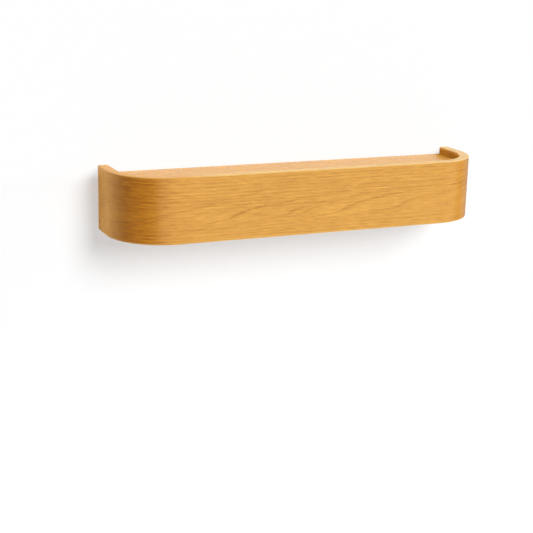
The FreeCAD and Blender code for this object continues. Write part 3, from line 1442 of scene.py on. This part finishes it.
@dataclass
class BackRail:
    """The rail that carries the pegs and hangs on the wall."""

    plates: KeyholePlates
    pegs: TurnedPegs
    dowels: RailDowels
    edge_round: float = 0.002
    edge_facets: int = 5
    finish: OakFinish = OakFinish(
        "oak_rail_face",
        GrainCourse.LENGTHWISE,
        OakFigure(turn_height=0.012, crown_opening=0.004, seed=23.4),
    )

    @staticmethod
    def end_screw_places(rise_share: float = 0.28, inset: float = 0.0059) -> list[Vector]:
        """Where the screws through the rail's ends sit, on the wall plane.

        Args:
            rise_share: how far they lie from the rail's middle, as a share of its height.
            inset: how far they lie from its ends.

        Returns:
            The places, two at each end.
        """
        low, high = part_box("back_rail")
        middle, rise = (low.z + high.z) / 2, (high.z - low.z) * rise_share
        across = high.x - inset
        return [Vector((x, high.y, middle + side * rise)) for x in (-across, across) for side in (-1, 1)]

    def build(self, screws: Sequence[ScrewSet]) -> None:
        """Models the rail with its joints and recesses and dresses it.

        Args:
            screws: the screws that pass through it.
        """
        low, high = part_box("back_rail")
        front, foot = low.y + self.edge_round, low.z + self.edge_round
        rail = rounded(
            block("peg_rail", low, high),
            self.edge_round,
            self.edge_facets,
            lambda edge: all(vert.co.y < front and vert.co.z < foot for vert in edge.verts),
        )
        combine(rail, [*self.plates.recesses(), *self.pegs.mortises(), *self.dowels.holes()], Join.CUT)
        for screw_set in screws:
            screw_set.bore(rail, "back_rail")
        smooth(rail)
        present(rail, [self.finish.material()], ["back_rail"])


@dataclass(frozen=True)
class Card:
    """A dim card that faces the rack: its bearing right of straight ahead, and the angle that it fills."""

    name: str
    bearing: float
    spread: float
    gloss_only: bool = False


@dataclass
class Studio:
    """The pale wall and floor, the lights and the camera."""

    wall_gap: float = 0.0006
    wall_size: float = 9.0
    wall_lap: float = 0.0005
    floor_drop: float = 1.62
    key_turn: float = math.radians(23)
    key_rise: float = math.radians(23.5)
    key_spread: float = math.radians(30)
    key_power: float = 2.8
    behind_place: Triple = (-1.2, 2.1, 0.3)
    behind_power: float = 38.0
    behind_size: float = 1.6
    ambient: float = 0.17
    card_distance: float = 1.6
    card_height: float = 2.6
    cards: tuple[Card, ...] = (
        Card("studio_card_left", math.radians(-48), math.radians(36)),
        Card("studio_card_far_left", math.radians(-80), math.radians(30), gloss_only=True),
        Card("studio_card_right", math.radians(84), math.radians(28)),
    )
    wall_card_gap: float = 0.002
    wall_card_top: float = 0.06
    # The wall cards' glow, seen only in reflections, is a painted reflection of the wall beside the rack.
    wall_cards: tuple[CardFinish, ...] = (
        CardFinish(
            "studio_card_wall_left",
            glow=(
                (-2.2, 0.0), (-1.1, 0.0), (-0.75, 0.07), (-0.60, 0.19),
                (-0.50, 0.31), (-0.45, 0.28), (-0.405, 0.18),
            ),
        ),
        CardFinish("studio_card_wall_right", glow=((0.405, 0.30), (0.60, 0.40), (2.2, 0.45))),
    )
    camera_place: Triple = (-1.0761, -2.3198, 0.5303)
    camera_yaw: float = math.radians(24.231)
    camera_pitch: float = math.radians(15.294)
    camera_roll: float = math.radians(1.502)
    lens: float = 83.645
    sensor: float = 36.0

    def wall_panels(self) -> list[tuple[float, float, float, float]]:
        """The wall's rectangles round the rack's wall side, which stays open to the light behind.

        Returns:
            (left, right, bottom, top) of each.
        """
        low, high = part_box("front_band")
        rail_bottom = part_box("back_rail")[0].z + self.wall_lap
        shelf_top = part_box("shelf_board")[1].z - self.wall_lap
        far, bottom, top = self.wall_size / 2, low.z + self.wall_lap, high.z - self.wall_lap
        outer, inner = high.x - self.wall_lap, high.x - BentBand.thickness + self.wall_lap
        return [
            (-far, far, top, far),
            (-far, far, -far, bottom),
            (-far, -outer, bottom, top),
            (outer, far, bottom, top),
            (-inner, inner, shelf_top, top),
            (-inner, inner, bottom, rail_bottom),
        ]

    @staticmethod
    def dress(made: Piece, finish: Finish, **visible: bool) -> None:
        """Gives a panel its finish.

        Args:
            made: the panel.
            finish: its finish.
            visible: whether it shows to a kind of ray, by the kind's name.
        """
        made.data.materials.append(finish.material())
        give(made, {f"visible_{kind}": seen for kind, seen in visible.items()})

    def backdrop(self) -> None:
        """Adds the wall and the floor."""
        panels = []
        for left, right, bottom, top in self.wall_panels():
            middle = Vector(((left + right) / 2, self.wall_gap, (bottom + top) / 2))
            panels.append(panel("wall_panel", right - left, top - bottom, middle, FRONT))
        wall = as_one(panels, "studio_wall")
        floor = panel("studio_floor", self.wall_size, self.wall_size, -self.floor_drop * UP, UP)
        self.dress(wall, BackdropFinish("pale_wall"), shadow=False)
        self.dress(floor, BackdropFinish("pale_floor"), shadow=False)

    def add_cards(self) -> None:
        """Adds the dim cards that shade the rack's round corners, and the wall cards whose glow is a painted
        reflection of the wall beside the rack, all out of the camera's sight.
        """
        for card in self.cards:
            place = self.card_distance * Vector((math.sin(card.bearing), -math.cos(card.bearing), 0.0))
            width = 2 * self.card_distance * math.tan(card.spread / 2)
            made = panel(card.name, width, self.card_height, place, -place)
            self.dress(made, CardFinish(card.name), camera=False, diffuse=not card.gloss_only)
        top, bottom = self.wall_card_top, -self.card_height / 2
        for finish in self.wall_cards:
            left, right = finish.glow[0][0], finish.glow[-1][0]
            middle = Vector(((left + right) / 2, -self.wall_card_gap, (top + bottom) / 2))
            made = panel(finish.name, right - left, top - bottom, middle, FRONT)
            self.dress(made, finish, camera=False, diffuse=False, shadow=False)

    def lamp(self, name: str, kind: LampKind, place: Vector, **settings: object) -> None:
        """Adds a lamp that points at the rack and leaves no glare on lacquer and steel.

        Args:
            name: the lamp's name.
            kind: its kind.
            place: where it stands.
            settings: properties to set on it.
        """
        matrix = Matrix.LocRotScale(place, (-place).to_track_quat("-Z", "Y"), None)
        made = added(name, matrix, bpy.ops.object.light_add, type=kind.value)
        give(made.data, settings)
        made.visible_glossy = False

    def lights(self) -> None:
        """Adds the soft key and the light behind the rack."""
        level = math.cos(self.key_rise)
        bearing = (math.sin(self.key_turn) * level, -math.cos(self.key_turn) * level, math.sin(self.key_rise))
        self.lamp("key", LampKind.SUN, Vector(bearing), energy=self.key_power, angle=self.key_spread)
        place = Vector(self.behind_place)
        self.lamp("behind", LampKind.AREA, place, energy=self.behind_power, size=self.behind_size)

    def world(self) -> None:
        """Adds a world that lights the rack dimly and looks white."""
        made = bpy.data.worlds.new("studio_light")
        bpy.context.scene.world = made
        made.use_nodes = True
        board = NodeBoard(made.node_tree)
        light, white = (
            board.draw("ShaderNodeBackground", 0, {"Color": WHITE, "Strength": strength})
            for strength in (self.ambient, 1.0)
        )
        path = board.node("ShaderNodeLightPath", {})
        camera, glossy, through = (
            Signal(board, path.outputs[f"Is {kind} Ray"]) for kind in ("Camera", "Glossy", "Transmission")
        )
        seen = board.reckon("MAXIMUM", board.reckon("MAXIMUM", camera, glossy), through)
        board.node("ShaderNodeOutputWorld", {"Surface": board.mixed(seen, light, white)})

    def camera(self) -> None:
        """Adds the camera where the photograph was taken from."""
        matrix = (
            Matrix.Translation(self.camera_place)
            @ Matrix.Rotation(-self.camera_yaw, 4, "Z")
            @ Matrix.Rotation(math.pi / 2 - self.camera_pitch, 4, "X")
            @ Matrix.Rotation(self.camera_roll, 4, "Z")
        )
        made = added("camera", matrix, bpy.ops.object.camera_add)
        made.data.sensor_width = self.sensor
        made.data.lens = self.lens
        bpy.context.scene.camera = made

    def build(self) -> None:
        """Sets up everything round the rack."""
        self.backdrop()
        self.add_cards()
        self.lights()
        self.world()
        self.camera()
        bpy.context.scene.view_settings.view_transform = "Standard"


def main() -> None:
    """Builds the rack's pieces in order, then the studio round them."""
    logging.basicConfig(level=logging.INFO, format="%(name)s %(message)s")
    pegs, plates = TurnedPegs(), KeyholePlates()
    dowels = RailDowels(pegs)
    end_screws = ScrewSet(
        "rail_screws",
        "rail_end_screws",
        BackRail.end_screw_places(),
        head=0.0035,
        shank=0.00175,
        length=0.050,
        point=0.005,
    )
    plate_screws = ScrewSet(
        "plate_screws",
        "keyhole_plate_screws",
        plates.screw_places(),
        head=0.003,
        shank=0.0015,
        length=0.014,
        point=0.003,
    )
    band = BentBand(end_screws)
    band.build()
    ShelfBoard(band, dowels).build()
    BackRail(plates, pegs, dowels).build((end_screws, plate_screws))
    pegs.build()
    plates.build(plate_screws)
    end_screws.build()
    plate_screws.build()
    dowels.dress()
    Studio().build()


if __name__ == "__main__":
    main()
